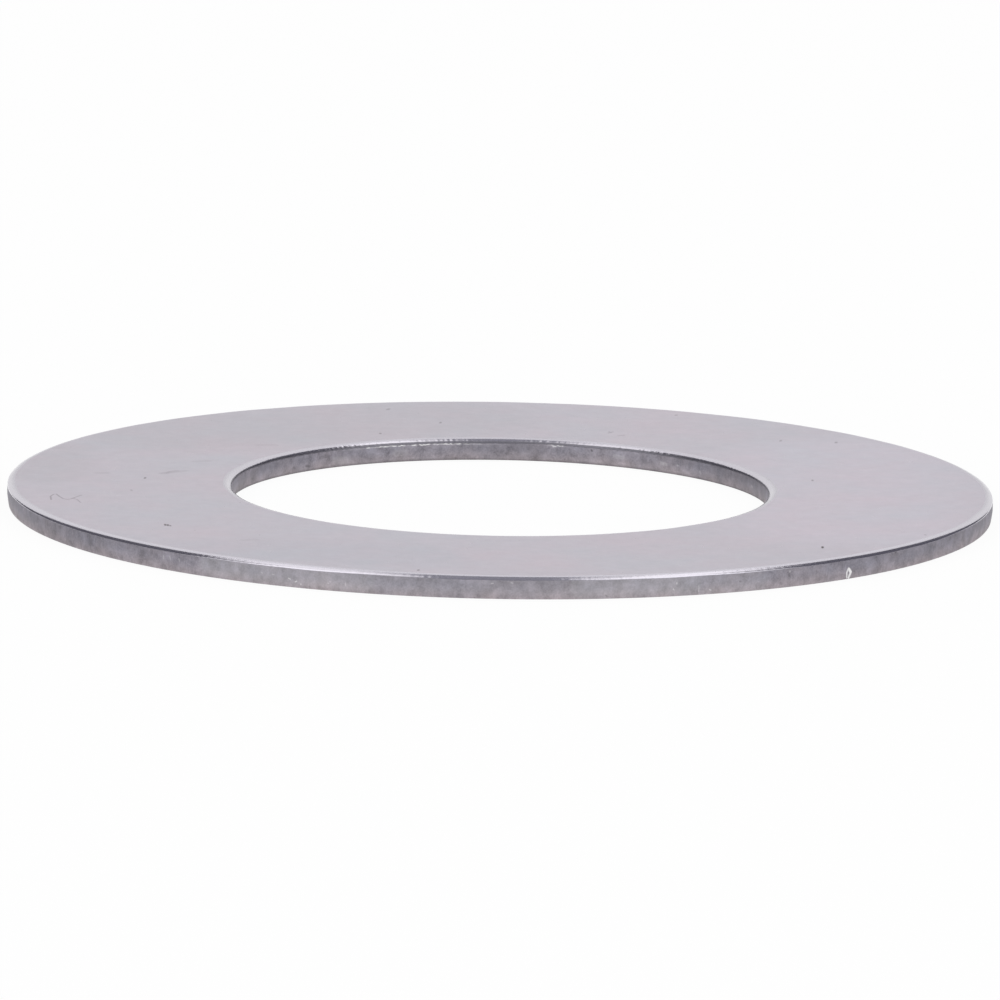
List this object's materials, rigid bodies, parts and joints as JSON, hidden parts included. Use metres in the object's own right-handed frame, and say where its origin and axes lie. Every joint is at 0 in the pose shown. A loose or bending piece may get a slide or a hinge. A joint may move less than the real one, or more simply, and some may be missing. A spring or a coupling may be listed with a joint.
{
  "type": "shim ring",
  "caption": "Thin flat steel shim ring with a round bore, blanked from strip, with rolled top edges and sheared walls. Takes up axial play on a shaft.",
  "frame": {"origin": "centre of the ring on the face that it lies on", "axes": "+Z along the ring's axis, out of the face with the rolled edges"},
  "size_m": [0.044, 0.044, 0.001],
  "materials": {
    "strip_steel": "satin as-rolled strip with a fine grain, its sheared edges darker and rougher"
  },
  "bodies": {
    "root": {"shim_ring": "strip_steel"}
  },
  "joints": []
}
